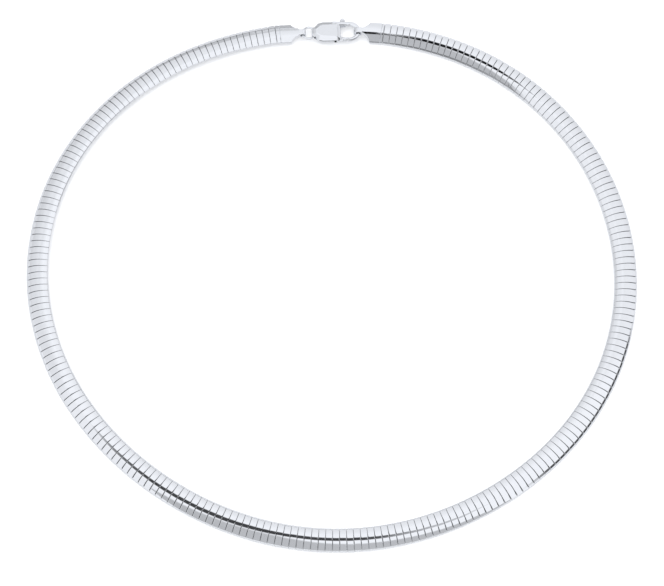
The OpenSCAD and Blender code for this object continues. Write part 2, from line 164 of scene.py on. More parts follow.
def share(name, description, value, top=1.0):
    return FloatProperty(name=name, description=description, default=value, min=0.0, max=top)


class BandSettings(bpy.types.PropertyGroup):
    """Sizes of the band of plates and of the loop that it makes."""

    plate_count: IntProperty(name="Plates", description="How many plates run round the neck",
                             default=247, min=10)
    pitch: length("Pitch", "Distance from one plate to the next", 1.738)
    gap: length("Gap", "Clear gap between two plates", 0.11)
    width: length("Width", "Width of the band", 5.8)
    height: length("Height", "Height of the band in its middle", 1.9)
    edge_radius: length("Edge radius", "Radius that rounds the band's long edges", 0.55)
    sheet: length("Sheet", "Thickness of the plates' sheet", 0.3)
    lip: length("Lip", "Width of the lip rolled under each long edge", 1.3)
    rim: length("Rim rounding", "Radius that rounds the plates' rims at the gaps", 0.08)
    unevenness: angle("Unevenness", "How far single plates lean off the line", 0.38)
    clasp_direction: angle("Clasp direction", "Direction of the clasp from +X towards +Y", 90.65)
    fastening: length("Fastening", "Length of the clasp and caps between the plates' ends", 29.2565)
    middle_x: FloatProperty(name="Middle X", description="Loop's middle, from the lobes' centre",
                            default=-0.285214 * MM, unit="LENGTH", precision=6)
    middle_y: FloatProperty(name="Middle Y", description="Loop's middle, from the lobes' centre",
                            default=-0.690223 * MM, unit="LENGTH", precision=6)


class RibbonSettings(bpy.types.PropertyGroup):
    """Sizes of the woven ribbon inside the plates."""

    width: length("Width", "Width of the ribbon", 4.7)
    underside: length("Underside", "Height of its underside in the band", 0.42)
    edge: length("Edge", "Thickness at its edges", 0.3)
    crown: length("Crown", "How much thicker it is in its middle", 0.22)
    relief: length("Relief", "How far the wires stand out", 0.07)
    strands: IntProperty(name="Strands", description="Strands side by side", default=9, min=2)
    rows: IntProperty(name="Rows", description="Crossing rows under one plate", default=3, min=1)
    end: length("End", "How deep it reaches into each cap", 2.4)
    cap_row: length("Cap row", "Depth of the row nearest to a cap's mouth", 0.8)


class CapSettings(bpy.types.PropertyGroup):
    """Sizes of the two end caps."""

    mouth: length("Mouth", "Distance of the mouth from the last gap line", 0.1)
    wall: length("Wall", "Wall of the sleeves", 0.35)
    pocket: length("Pocket", "Depth of the ribbon's pocket", 2.6)
    groove: length("Groove", "Width and depth of the groove behind the lip", 0.14)
    fold: length("Fold", "Thickness of the strip folded round the eye", 0.3)
    shoulder_radius: length("Shoulder radius", "Radius of the hollow shoulders", 3.4)
    shoulder_edge: length("Shoulder edge", "Radius of the shoulders' long edges", 0.22)
    edge_blend: length("Edge blend", "Run over which the long edges grow sharper", 0.6)
    sleeve_blend: length("Sleeve blend", "Run from the sleeve's section to the shoulder's", 0.25)
    eye_blend: length("Eye blend", "Run from the tongue's width to the eye's", 0.45)
    eye_start: length("Eye start", "How far before its end the tongue begins to narrow", 0.25)
    slant_fade: share("Slant fade", "Share of the sleeve over which the mouth's slant fades", 0.9)
    mouth_edge: length("Mouth edge", "Rounding of the mouth's edges", 0.06)
    left_sleeve: length("Left sleeve", "Length of the left sleeve", 4.0)
    left_lip: length("Left lip", "Width of the left lip", 1.0)
    left_shoulder: length("Left shoulder", "Length of the left shoulder", 1.5)
    left_neck: length("Left neck", "Width of the left tongue", 2.6)
    left_tongue: length("Left tongue", "Length of the left tongue", 0.75)
    left_eye: length("Left eye", "Width of the left eye", 1.5)
    left_bore: length("Left bore", "Bore of the left eye", 1.3)
    left_turn: angle("Left turn", "Turn of the left cap from the clasp's line", 2.0)
    right_sleeve: length("Right sleeve", "Length of the right sleeve", 3.6)
    right_lip: length("Right lip", "Width of the right lip", 0.55)
    right_shoulder: length("Right shoulder", "Length of the right shoulder", 2.1)
    right_neck: length("Right neck", "Width of the right tongue", 1.5)
    right_tongue: length("Right tongue", "Length of the right tongue", 0.0)
    right_eye: length("Right loop", "Width of the right loop", 1.5)
    right_bore: length("Right bore", "Bore of the right loop", 1.8)
    right_turn: angle("Right turn", "Turn of the right cap from the clasp's line", 4.5)


class ClaspSettings(bpy.types.PropertyGroup):
    """Sizes of the jump ring, the clasp and its lever."""

    ring_radius: length("Ring radius", "Radius to the middle of the ring's wire", 1.65)
    ring_wire: length("Ring wire", "Thickness of the ring's wire", 0.65)
    ring_drop: length("Ring drop", "How far the ring hangs below the eyes", 0.1)
    ring_seam: length("Ring seam", "Gap of the ring's cut", 0.05)
    seam_edge: length("Seam edge", "Rounding of the wire's two ends", 0.05)
    seam_turn: angle("Seam turn", "Direction of the cut from the clasp's line", 118)
    ring_room: length("Ring room", "Clear space round the wire in the clasp's nose", 0.16)
    link_gap: length("Link gap", "Clear space between linked pieces", 0.1)
    length: length("Length", "Length over tail and hook", 13.2)
    width: length("Width", "Width of the clasp", 5.9)
    height: length("Height", "Thickness of the body", 2.6)
    bevel_width: length("Bevel width", "Width of the bevel", 1.2)
    bevel_height: length("Bevel height", "Height of the bevel", 1.0)
    bevel_flat: share("Bevel flatness", "Power of the bevel's curve: 1 is round, 2 straight", 1.7, 2.0)
    crown: length("Crown", "How far the flat faces swell", 0.04)
    crown_run: length("Crown run", "How far in from the bevel the flat faces swell", 0.5)
    corner: length("Corner", "Least radius of the body's corners", 0.04)
    body: length("Body", "Length of the body", 7.0)
    arm_root: length("Arm root", "How far back in the body the hook's arm starts", 2.4)
    arm_width: share("Arm width", "Width of the arm's root, in widths of the hook's bar", 1.3, 3.0)
    arm_inset: length("Arm inset", "How much thinner than the body the arm's root is", 0.3)
    hook_width: length("Hook width", "Width of the hook's bar", 1.15)
    hook_swell: length("Hook swell", "Extra width of the bar where the loop doesn't reach", 0.23)
    hook_height: length("Hook height", "Thickness of the hook's bar", 1.1)
    bow_plain: angle("Plain bow", "Turn of the hook's bow at which its swell ends", 30)
    bow_fade: angle("Bow fade", "Turn over which the bow's swell fades", 50)
    tail_width: length("Tail width", "Width of the tail eye", 1.3)
    tail_bore: length("Tail bore", "Bore of the tail eye", 1.3)
    tail_wall: length("Tail wall", "Wall between the tail's bore and the nose's end", 0.3)
    lever_height: length("Lever height", "Thickness of the lever's plate", 0.7)
    lever_gap: length("Lever gap", "Clear space over and under the lever", 0.1)
    slot_back: length("Slot back", "How far behind the pin the lever's slot reaches", 2.15)
    slot_front: length("Slot front", "How far before the body's front the slot reaches", 0.4)
    slot_side: length("Slot side", "How far the slot cuts in past the bar and behind the pin", 0.35)
    web_ahead: length("Web ahead", "How far the lever's web reaches along the gate", 0.3)
    hub_wall: length("Hub wall", "From the pin to the outside of the lever's hub", 0.45)
    shank_width: share("Shank width", "Half the shank's width, in radii of the hub", 0.6)
    shank_inset: length("Shank inset", "How far the shank keeps inside the outline", 0.15)
    pin: length("Pin", "Diameter of the pivot pin", 0.8)
    pin_end: length("Pin end", "How far each end of the pin is sunk in the body", 0.2)
    pin_gap: length("Pin gap", "Clear space round the pin", 0.05)
    pin_back: length("Pin back", "Distance of the pin from the body's front", 1.1)
    pin_off: length("Pin off", "Distance of the pin from the middle line", 1.15)
    tip_back: length("Tip back", "Distance of the gate's tip behind the hook's centre", 0.4)
    tip_slope: angle("Tip slope", "Slope of the gate's closing face", 55)
    gate_gap: length("Gate gap", "Clear space at the gate's tip and root", 0.12)
    gate_plain: length("Plain gate", "Length of the gate's tip that has no swell", 0.6)
    gate_fade: length("Gate fade", "Length over which the gate's swell fades", 0.8)
    gate_root: share("Gate root", "Size of the gate's root in sizes of its bar", 0.9)
    nub_width: length("Nub width", "Width of the thumb nub", 1.3)
    nub_height: length("Nub height", "How far the nub stands out", 1.0)
    nub_ahead: length("Nub ahead", "Distance of the nub from the body's front", 0.5)
    nub_room: length("Nub room", "Clear space before the nub", 0.15)
    grain: length("Grain", "Size of the cells that the cast shapes are made of", 0.065)
    lever_grain: share("Lever grain", "Size of the lever's cells in sizes of the body's", 0.8)


class FinishSettings(bpy.types.PropertyGroup):
    """Colours and polish of the silver."""

    plate_silver: colour("Plate silver", "Reflection colour of the plates", (0.915, 0.925, 0.945))
    fitting_silver: colour("Fitting silver", "Reflection colour of clasp and caps", (0.9, 0.91, 0.93))
    wire_silver: colour("Wire silver", "Reflection colour of the woven ribbon", (0.6, 0.61, 0.63))
    plate_roughness: share("Plate roughness", "Roughness of the polished plates", 0.06)
    fitting_roughness: share("Fitting roughness", "Roughness of clasp and caps", 0.055)
    wire_roughness: share("Wire roughness", "Roughness of the woven wire", 0.3)


class StudioSettings(bpy.types.PropertyGroup):
    """Camera and light of the studio."""

    lens: FloatProperty(name="Lens", description="Focal length", default=100.0, unit="CAMERA")
    elevation: angle("Camera elevation", "Height of the camera above the floor", 70.67)
    distance: length("Camera distance", "Distance from the point it looks at", 475.5)
    look_x: FloatProperty(name="Look at X", description="Point on the floor that the camera looks at",
                          default=0.127 * MM, unit="LENGTH", precision=5)
    look_y: FloatProperty(name="Look at Y", description="Point on the floor that the camera looks at",
                          default=-5.2 * MM, unit="LENGTH", precision=5)
    floor_white: share("Floor", "Whiteness of the floor", 0.86)
    floor_glow: share("Floor glow", "Light that the floor gives off", 0.15, 5.0)
    floor_in_silver: share("Floor in silver", "Whiteness of the floor that the silver reflects", 0.86)
    # Whiteness of the painted shadow behind the clasp, on the floor that the silver sees
    floor_behind: share("Floor behind", "Whiteness of that floor behind the clasp", 0.55)
    flag_height: length("Flag height", "Height of the black flags over the floor", 60)
    room_colour: colour("Room colour", "Tint of the room's light", (0.945, 0.962, 1.0))
    room_light: share("Room light", "Brightness of the white room", 1.03, 5.0)
    far_light: share("Far light", "Share of the light towards the room's far end", 0.87)
    left_light: share("Left light", "Share of the light on the room's left", 0.93)
    patch_light: share("Patch light", "Share of the light in the dim patch on the right", 0.08)
    key_light: share("Key light", "Strength of the soft light from behind", 1.6, 20.0)
    key_spread: angle("Key spread", "Angle that the soft light fills", 100)
    key_lean: angle("Key lean", "Lean of the soft light from the upright", 20)


# The band's line


class Route:
    """Middle line of the band, clockwise from the right-hand end of the plates."""

    def __init__(self, band):
        self.band = band
        self.run = band.plate_count * band.pitch
        turns = np.arange(0.0, 361.0, 2.0)
        points = np.array([self.unit_point(turn) for turn in turns])
        runs = np.concatenate([[0.0], np.cumsum(np.linalg.norm(np.diff(points, axis=0), axis=1))])
        self.turns, self.runs = turns, runs

        # Degrees each side of the clasp at which the chord between the ends fits the fastening
        halves = np.arange(4.0, 61.0)
        ratios = [
            np.linalg.norm(self.unit_point(half) - self.unit_point(-half))
            / (np.interp(360.0 - half, turns, runs) - np.interp(half, turns, runs))
            for half in halves
        ]
        half = float(np.interp(band.fastening / self.run, ratios, halves))
        self.start = np.interp(half, turns, runs)
        self.radius = self.run / (np.interp(360.0 - half, turns, runs) - self.start)
        self.middle = np.array([band.middle_x, band.middle_y])

    def unit_point(self, turn):
        a = math.degrees(self.band.clasp_direction) - turn
        r = 1.0 + sum(h * math.cos(math.radians(k * (a - at))) for k, h, at in LOBES)
        return r * np.array([math.cos(math.radians(a)), math.sin(math.radians(a))])

    def point(self, s):
        turn = np.interp(self.start + s / self.radius, self.runs, self.turns)
        return self.radius * self.unit_point(turn) - self.middle

    def heading(self, s):
        near = 0.5 * MM
        d = self.point(s + near) - self.point(s - near)
        return math.atan2(d[1], d[0])

    def tilt(self, s):
        shares, tilts = zip(*TILTS)
        return math.radians(np.interp(s / self.run, shares, tilts))

    def lift(self, tilt):
        band = self.band
        half_flat = band.width / 2 - band.edge_radius
        return half_flat * abs(math.sin(tilt)) + band.edge_radius * (1 - math.cos(tilt))

    def pose(self, point, heading, s):
        """Matrix of a tilted section: x along the run, y outwards, z up."""
        tilt = self.tilt(s)
        return (Matrix.Translation((*point, self.lift(tilt)))
                @ Matrix.Rotation(heading, 4, "Z") @ Matrix.Rotation(tilt, 4, "X"))

    def place(self, s):
        return self.pose(self.point(s), self.heading(s), s)


def dome_arc(band):
    """Half the width between the rounded edges, the dome's radius and its centre's height."""
    half_flat = band.width / 2 - band.edge_radius
    rise = band.height - 2 * band.edge_radius
    radius = (half_flat ** 2 + rise ** 2) / (2 * rise)
    return half_flat, radius, band.edge_radius + rise - radius


def dome_path(band, inset, dome_steps=18, edge_steps=7):
    """Section of a plate from lip to lip, as (outwards, up), inset from the outside."""
    half_flat, arc, centre = dome_arc(band)
    join = math.atan2(band.edge_radius - centre, half_flat)
    edge, big = band.edge_radius - inset, arc + band.edge_radius - inset
    half = [(band.width / 2 - band.lip, inset)]
    for a in -math.pi / 2 + (join + math.pi / 2) * np.arange(edge_steps) / edge_steps:
        half.append((half_flat + edge * math.cos(a), band.edge_radius + edge * math.sin(a)))
    dome = [(big * math.cos(a), centre + big * math.sin(a))
            for a in join + (math.pi - 2 * join) * np.arange(dome_steps + 1) / dome_steps]
    return np.array(half + dome + [(-y, z) for y, z in reversed(half)])


def closed_section(path, steps=6):
    """A section whose open underside is closed by evenly spaced points."""
    foot = path[-1] + (path[0] - path[-1]) * np.arange(1, steps)[:, None] / steps
    return np.vstack([path, foot])


# Meshes


def smooth(mesh, sharp=35.0):
    mesh.shade_smooth()
    mesh.set_sharp_from_angle(angle=math.radians(sharp))


def add_object(name, mesh, material, body="necklace"):
    piece = bpy.data.objects.new(name, mesh)
    bpy.context.scene.collection.objects.link(piece)
    mesh.materials.clear()
    mesh.materials.append(material)
    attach(piece, body)
    return piece


def ease(done):
    """Rises smoothly from 0 to 1 as done does, and stays there on both sides."""
    t = min(1.0, max(0.0, done))
    return t * t * (3 - 2 * t)


def moved(points, matrix):
    m = np.array(matrix)
    return points @ m[:3, :3].T + m[:3, 3]


def plate_shape(band):
    """Points and faces of one plate that lies along x, its middle at the origin."""
    half = (band.pitch - band.gap) / 2
    stations = [(-half + band.rim * (1 - math.sin(math.radians(a))),
                 band.rim * (1 - math.cos(math.radians(a)))) for a in (90, 45, 0)]
    past_rim = 1.4 * band.rim
    stations.append((-half + past_rim, 0.0))
    stations += [(-x, inset) for x, inset in reversed(stations)]
    rings = [[(x, y, z) for y, z in dome_path(band, inset)] for x, inset in stations]
    inner = dome_path(band, band.sheet)
    rings.append([(half, y, z) for y, z in inner])
    rings.append([(-half, y, z) for y, z in inner])
    n = len(inner)
    count = len(rings)
    faces = []
    for r in range(count):
        for k in range(n - 1):
            a, b = r * n + k, ((r + 1) % count) * n + k
            faces.append((a, a + 1, b + 1, b))
    faces.append([r * n for r in range(count)])
    faces.append([r * n + n - 1 for r in reversed(range(count))])
    mesh = bpy.data.meshes.new("plate")
    mesh.from_pydata([p for ring in rings for p in ring], [], faces)
    bm = bmesh.new()
    bm.from_mesh(mesh)
    bmesh.ops.remove_doubles(bm, verts=bm.verts, dist=1e-7)
    bmesh.ops.recalc_face_normals(bm, faces=bm.faces)
    points = np.array([v.co for v in bm.verts])
    faces = [[v.index for v in f.verts] for f in bm.faces]
    bm.free()
    bpy.data.meshes.remove(mesh)
    return points, faces


def plates_mesh(band):
    route = Route(band)
    points, faces = plate_shape(band)
    leans = np.random.default_rng(11).normal(0.0, 1.0, (band.plate_count, 3)) * band.unevenness
    middle = Matrix.Translation((0, 0, band.height / 2))
    all_points, all_faces = [], []
    for k, (roll, pitch, yaw) in enumerate(leans * LEANS):
        wobble = (middle @ Matrix.Rotation(roll, 4, "X") @ Matrix.Rotation(pitch, 4, "Y")
                  @ Matrix.Rotation(yaw, 4, "Z") @ middle.inverted())
        all_points.append(moved(points, route.place((k + 0.5) * band.pitch) @ wobble))
        all_faces.extend([[k * len(points) + i for i in f] for f in faces])
    mesh = bpy.data.meshes.new("domed_plates")
    mesh.from_pydata(np.vstack(all_points).tolist(), [], all_faces)
    mesh.update()
    smooth(mesh)
    return mesh


def loft(rings):
    """Points and faces of a closed skin over rings of as many points each."""
    n = len(rings[0])
    faces = [(r * n + k, r * n + (k + 1) % n, (r + 1) * n + (k + 1) % n, (r + 1) * n + k)
             for r in range(len(rings) - 1) for k in range(n)]
    faces.append(tuple(range(n)))
    faces.append(tuple((len(rings) - 1) * n + k for k in range(n)))
    return np.vstack(rings), faces


def sweep(path, sections, across_is):
    """Skin of a bar along a path: section points are (sideways, along across_is)."""
    path = np.asarray(path, float)
    axis = np.asarray(across_is, float)
    rings = []
    for k, place in enumerate(path):
        ahead = path[min(k + 1, len(path) - 1)] - path[max(k - 1, 0)]
        side = np.cross(axis, ahead)
        side /= np.linalg.norm(side)
        rings.append(place + np.outer(sections[k][:, 0], side) + np.outer(sections[k][:, 1], axis))
    return loft(rings)


def prism(outline, low, high):
    """Skin of a plate with the given outline."""
    outline = np.asarray(outline, float)
    return loft([np.column_stack([outline, np.full(len(outline), z)]) for z in (low, high)])


def disc(x, y, radius, count=40):
    a = np.linspace(0, 2 * math.pi, count, endpoint=False)
    return np.column_stack([x + radius * np.cos(a), y + radius * np.sin(a)])


def bar_section(width, height, power=2.6, count=28):
    """Oblong section with soft corners."""
    a = np.linspace(0, 2 * math.pi, count, endpoint=False)
    c, s = np.cos(a), np.sin(a)
    return np.column_stack([width / 2 * np.sign(c) * np.abs(c) ** (2 / power),
                            height / 2 * np.sign(s) * np.abs(s) ** (2 / power)])


def make_mesh(name, skins):
    mesh = bpy.data.meshes.new(name)
    points, faces = [], []
    for skin_points, skin_faces in skins:
        base = len(points)
        points.extend(map(tuple, skin_points))
        faces.extend(tuple(base + i for i in face) for face in skin_faces)
    mesh.from_pydata(points, [], faces)
    bm = bmesh.new()
    bm.from_mesh(mesh)
    bmesh.ops.recalc_face_normals(bm, faces=bm.faces)
    bm.to_mesh(mesh)
    bm.free()
    return mesh


def worked(mesh, work):
    """The mesh after the modifiers that work() puts on it."""
    piece = bpy.data.objects.new("blank", mesh)
    bpy.context.scene.collection.objects.link(piece)
    work(piece)
    ready = piece.evaluated_get(bpy.context.evaluated_depsgraph_get())
    result = bpy.data.meshes.new_from_object(ready)
    bpy.data.objects.remove(piece)
    return result


def cast(name, skins, grain, rounds=5):
    """Melts overlapping skins into one body with soft corners, as a casting has."""
    def work(piece):
        melt = piece.modifiers.new("melt", "REMESH")
        melt.mode = "VOXEL"
        melt.voxel_size = grain
        polish = piece.modifiers.new("polish", "SMOOTH")
        polish.factor = 0.5
        polish.iterations = rounds
    return worked(make_mesh(name, skins), work)


def cut(mesh, cutters):
    """The mesh without the space of the cutters."""
    tools = []

    def work(piece):
        for k, skin in enumerate(cutters):
            tool = bpy.data.objects.new(f"cutter_{k}", make_mesh("cutter", [skin]))
            bpy.context.scene.collection.objects.link(tool)
            tools.append(tool)
            step = piece.modifiers.new("cut", "BOOLEAN")
            step.operation = "DIFFERENCE"
            step.solver = "EXACT"
            step.object = tool
    result = worked(mesh, work)
    for tool in tools:
        bpy.data.objects.remove(tool)
    return result


def settle(mesh, place):
    """Brings a mesh drawn in millimetres to its place in metres."""
    mesh.transform(place @ Matrix.Scale(MM, 4))
    mesh.update()
    smooth(mesh)
    return mesh


def in_mm(group):
    """The group's values, with its lengths in millimetres."""
    values = {key: getattr(group, key) for key in group.__annotations__}
    return SimpleNamespace(**{
        key: value / MM if group.bl_rna.properties[key].unit == "LENGTH" else value
        for key, value in values.items()
    })


class Fastening:
    """Places of the caps, the ring and the clasp between the ends of the plates."""

    def __init__(self, route, caps, clasp):
        self.route, self.band = route, in_mm(route.band)
        self.caps, self.clasp = in_mm(caps), in_mm(clasp)
        left, right = route.point(route.run), route.point(0.0)
        line = math.atan2(right[1] - left[1], right[0] - left[0])
        self.left_heading, self.right_heading = line + caps.left_turn, line - caps.right_turn
        self.left_end, self.right_end = left, right
        left_eye = left + self.reach("left") * MM * self.ray(self.left_heading)
        right_eye = right - self.reach("right") * MM * self.ray(self.right_heading)
        self.heading = math.atan2(right_eye[1] - left_eye[1], right_eye[0] - left_eye[0])
        ray = self.ray(self.heading) * MM
        eye = self.pull(self.caps.left_bore, self.caps.left_eye)
        tail = self.pull(self.clasp.tail_bore, self.clasp.tail_width)
        self.ring_at = left_eye + (self.clasp.ring_radius + eye) * ray
        self.tail_at = self.ring_at + (self.clasp.ring_radius + tail) * ray

    @staticmethod
    def ray(heading):
        return np.array([math.cos(heading), math.sin(heading)])

    @staticmethod
    def frame(point, heading, up=0.0):
        """Matrix of a level place, up being in millimetres."""
        return Matrix.Translation((*point, up * MM)) @ Matrix.Rotation(heading, 4, "Z")

    def end(self, side):
        """Where the plates end on that side: point, heading, run along the band, way out of it."""
        if side == "left":
            return self.left_end, self.left_heading, self.route.run, 1
        return self.right_end, self.right_heading, 0.0, -1

    def reach(self, side):
        """Distance from the plates' end to the eye's centre."""
        c = self.side(side)
        return self.caps.mouth + c.sleeve + c.shoulder + c.tongue + c.bore / 2 + self.caps.fold

    def side(self, side):
        names = ("sleeve", "lip", "shoulder", "neck", "tongue", "eye", "bore")
        return SimpleNamespace(**{name: getattr(self.caps, f"{side}_{name}") for name in names})

    def pull(self, bore, width):
        """How far the ring's wire is pulled off the middle of an eye."""
        c = self.clasp
        sag = c.ring_radius - math.sqrt(c.ring_radius ** 2 - width ** 2 / 4)
        room = (bore - c.ring_wire) / 2 - c.link_gap
        return math.sqrt(room ** 2 - c.ring_drop ** 2) - sag


def ribbon_mesh(fastening, ribbon):
    """Flat woven ribbon: strands along it and rows across that pass over and under."""
    route, r = fastening.route, in_mm(ribbon)
    across = np.linspace(-r.width / 2, r.width / 2, 3 * r.strands + 1)
    swell = np.clip(2 - 4 * np.abs(across) / r.width, 0, 1)

    def ring(matrix, phase):
        weave = np.cos(math.pi * phase) * np.cos(math.pi * r.strands * (across / r.width + 0.5))
        under = r.underside + r.relief * (0.5 - 0.5 * weave)
        over = r.underside + r.edge + r.crown * swell - r.relief * (0.5 + 0.5 * weave)
        y = np.concatenate([across, across[::-1]])
        z = np.concatenate([under, over[::-1]])
        return moved(np.column_stack([np.zeros_like(y), y, z]) * MM, matrix)

    def in_cap(side, depth):
        end, heading, s, way = fastening.end(side)
        out = way * (fastening.caps.mouth * MM + depth)
        return route.pose(end + out * fastening.ray(heading), heading, s)

    depths = np.linspace(ribbon.end, ribbon.cap_row, 6)
    steps = route.band.plate_count * r.rows * 2
    rings = [ring(in_cap("right", depth), (k - len(depths)) / 2) for k, depth in enumerate(depths)]
    rings += [ring(route.place(route.run * k / steps), k / 2) for k in range(steps + 1)]
    rings += [ring(in_cap("left", depth), (steps + k + 1) / 2)
              for k, depth in enumerate(depths[::-1])]
    mesh = make_mesh("woven_ribbon", [loft(rings)])
    smooth(mesh, 60)
    return mesh


def cap_stations(caps, c, reach):
    """Rings of a cap's skin from its pocket to the eye: distance along it, inset."""
    m, wall, g, soft = caps.mouth, caps.wall, caps.groove, caps.mouth_edge
    stations = [(m + caps.pocket, wall), (m + 1.2, wall), (m + soft, wall),
                (m + soft / 4, wall - soft / 3), (m, wall - soft), (m, soft),
                (m + soft / 3, soft / 3), (m + soft, 0.0), (m + 2 * soft, 0.0)]
    middle = m + c.lip + g / 2
    side = [(g / 2 + run, depth) for run, depth in GROOVE_SIDE] + [(0.2 * g, 0.75 * g)]
    stations += [(middle - run, depth) for run, depth in side] + [(middle, g)]
    stations += [(middle + run, depth) for run, depth in reversed(side)]

    # Past the groove the rings stand close where the plan turns
    sleeve, shoulder_end = m + c.sleeve, m + c.sleeve + c.shoulder
    bare = [*np.linspace(middle + g / 2 + 0.5, sleeve - 0.12, 5), sleeve - 0.04, sleeve + 0.02,
            *np.linspace(sleeve + 0.1, shoulder_end - 0.05, 12),
            *np.linspace(shoulder_end + 0.05, reach - c.bore / 2 - 0.04, 8)]
    return stations + [(x, 0.0) for x in bare]


def cap_mesh(fastening, side):
    """One end cap: lipped sleeve, hollow shoulders, tongue and folded eye."""
    caps, band, c, route = fastening.caps, fastening.band, fastening.side(side), fastening.route
    end, heading, s, way = fastening.end(side)
    tilt, bend = way * route.tilt(s), math.tan(route.heading(s) - heading)
    lifted = route.lift(tilt) / MM
    edge, mid = band.width / 2, fastening.clasp.height / 2
    reach = fastening.reach(side)
    sleeve, body_end = caps.mouth + c.sleeve, reach - c.bore / 2 - caps.fold
    neck, step = c.neck / 2, edge - c.neck / 2
    span = math.hypot(c.shoulder, step)
    bow = math.sqrt(caps.shoulder_radius ** 2 - span ** 2 / 4)
    centre_x = sleeve + c.shoulder / 2 + bow * step / span
    centre_y = (edge + neck) / 2 + bow * c.shoulder / span

    def half_width(x):
        if x <= sleeve:
            return edge
        if x <= sleeve + c.shoulder:
            return centre_y - math.sqrt(caps.shoulder_radius ** 2 - (x - centre_x) ** 2)
        return neck + (c.eye / 2 - neck) * ease((x - body_end + caps.eye_start) / caps.eye_blend)

    def sloped(y, z):
        return (y * math.cos(tilt) - z * math.sin(tilt),
                y * math.sin(tilt) + z * math.cos(tilt) + lifted)

    def trimmed(x):
        """The sloped dome cut to the plan's width, with sides down to a rising underside."""
        half, done = half_width(x), (x - sleeve) / (body_end - sleeve)
        sharper = ease((x - sleeve) / caps.edge_blend)
        corner = band.edge_radius + (caps.shoulder_edge - band.edge_radius) * sharper
        low = (mid - caps.fold) * min(1.0, max(0.0, done))
        arc, centre = dome_arc(band)[1:]
        mid_y, mid_z = sloped(0, centre)
        big = arc + band.edge_radius
        sides, joins = [], []
        for way_out in (1, -1):
            y = way_out * (half - corner) - mid_y
            z = math.sqrt((big - corner) ** 2 - y ** 2)
            join = math.atan2(z, way_out * y)
            turns = -math.pi / 2 + (join + math.pi / 2) * np.arange(EDGE_STEPS) / EDGE_STEPS
            heights = np.where(turns < 0, low + corner, mid_z + z)
            sides.append([(way_out * max(half - band.lip, half / 2), low)]
                         + [(way_out * (half - corner + corner * math.cos(a)),
                             h + corner * math.sin(a)) for a, h in zip(turns, heights)])
            joins.append(join if way_out > 0 else math.pi - join)
        dome = [(mid_y + big * math.cos(a), mid_z + big * math.sin(a))
                for a in np.linspace(*joins, DOME_STEPS + 1)]
        return closed_section(np.array(sides[0] + dome + sides[1][::-1])).T

    def ring(x, inset):
        out, up = sloped(*closed_section(dome_path(band, inset, DOME_STEPS, EDGE_STEPS)).T)
        if x > sleeve:
            done = ease((x - sleeve) / caps.sleeve_blend)
            cut_out, cut_up = trimmed(x)
            out, up = out + done * (cut_out - out), up + done * (cut_up - up)
        slant = bend * (1 - ease((x - caps.mouth) / (c.sleeve * caps.slant_fade)))
        return np.column_stack([x - slant * out, out, up])

    skins = [loft([ring(x, inset) for x, inset in cap_stations(caps, c, reach)])]

    # The strip that runs on from the tongue, folds round the eye and back under it
    bend_r = (c.bore + caps.fold) / 2
    path = [(x, 0, mid + bend_r) for x in np.linspace(body_end + 0.05, reach - 0.08, 6)]
    path += [(reach + bend_r * math.cos(a), 0, mid + bend_r * math.sin(a))
             for a in np.radians(np.arange(90, -196, -8))]
    strip = bar_section(caps.fold, c.eye, 5.0, 32)
    skins.append(sweep(path, [strip] * len(path), (0, 1, 0)))
    turn = 0.0 if way > 0 else math.pi
    return settle(make_mesh(f"cap_{side}", skins), fastening.frame(end, heading + turn))


def ring_mesh(fastening):
    """Jump ring of round wire, cut once and closed."""
    c = fastening.clasp
    half_cut, soft = c.ring_seam / 2 / c.ring_radius, c.seam_edge / c.ring_radius
    turns = [half_cut, half_cut + soft * 0.3, half_cut + soft]
    turns += list(np.linspace(half_cut + 3 * soft, 2 * math.pi - half_cut - 3 * soft, 90))
    turns += [2 * math.pi - t for t in turns[2::-1]]
    around = np.linspace(0, 2 * math.pi, 24, endpoint=False)
    rings = []
    for k, turn in enumerate(turns):
        from_cut = min(k, len(turns) - 1 - k)
        r = c.ring_wire / 2 - c.seam_edge * (1.0, 0.3, 0.0)[min(from_cut, 2)]
        out, a = c.ring_radius + r * np.cos(around), turn + c.seam_turn
        rings.append(np.column_stack([out * math.cos(a), out * math.sin(a), r * np.sin(around)]))
    return settle(make_mesh("jump_wire", [loft(rings)]),
                  fastening.frame(fastening.ring_at, fastening.heading, c.height / 2 - c.ring_drop))


class Hook:
    """Measures of the clasp that its body and its lever share."""

    def __init__(self, c):
        self.radius = c.width / 2
        self.x = c.length - c.tail_bore / 2 - c.tail_wall - self.radius
        self.bow = self.radius - c.hook_width / 2
        self.inside = self.radius - c.hook_width
        self.tip = self.x - c.tip_back
        self.slope = c.tip_slope
        self.pin_x = c.body - c.pin_back
        self.hub = c.pin / 2 + c.hub_wall
        self.nub_x = c.body + c.nub_ahead

    def closing_x(self, y, gap):
        """Where the sloping face between hook and gate stands, gap away from its middle."""
        return self.tip + (math.cos(self.slope) * (y + self.bow) + gap) / math.sin(self.slope)

    def closed_bar(self, path, sections, gap):
        """Skin of a bar along a path in the flat, whose last ring lies on the closing face."""
        points, faces = sweep(path, sections, (0, 0, 1))
        n = len(sections[0])
        points[-n:, 0] = [self.closing_x(y, gap) for y in points[-n:, 1]]
        return points, faces


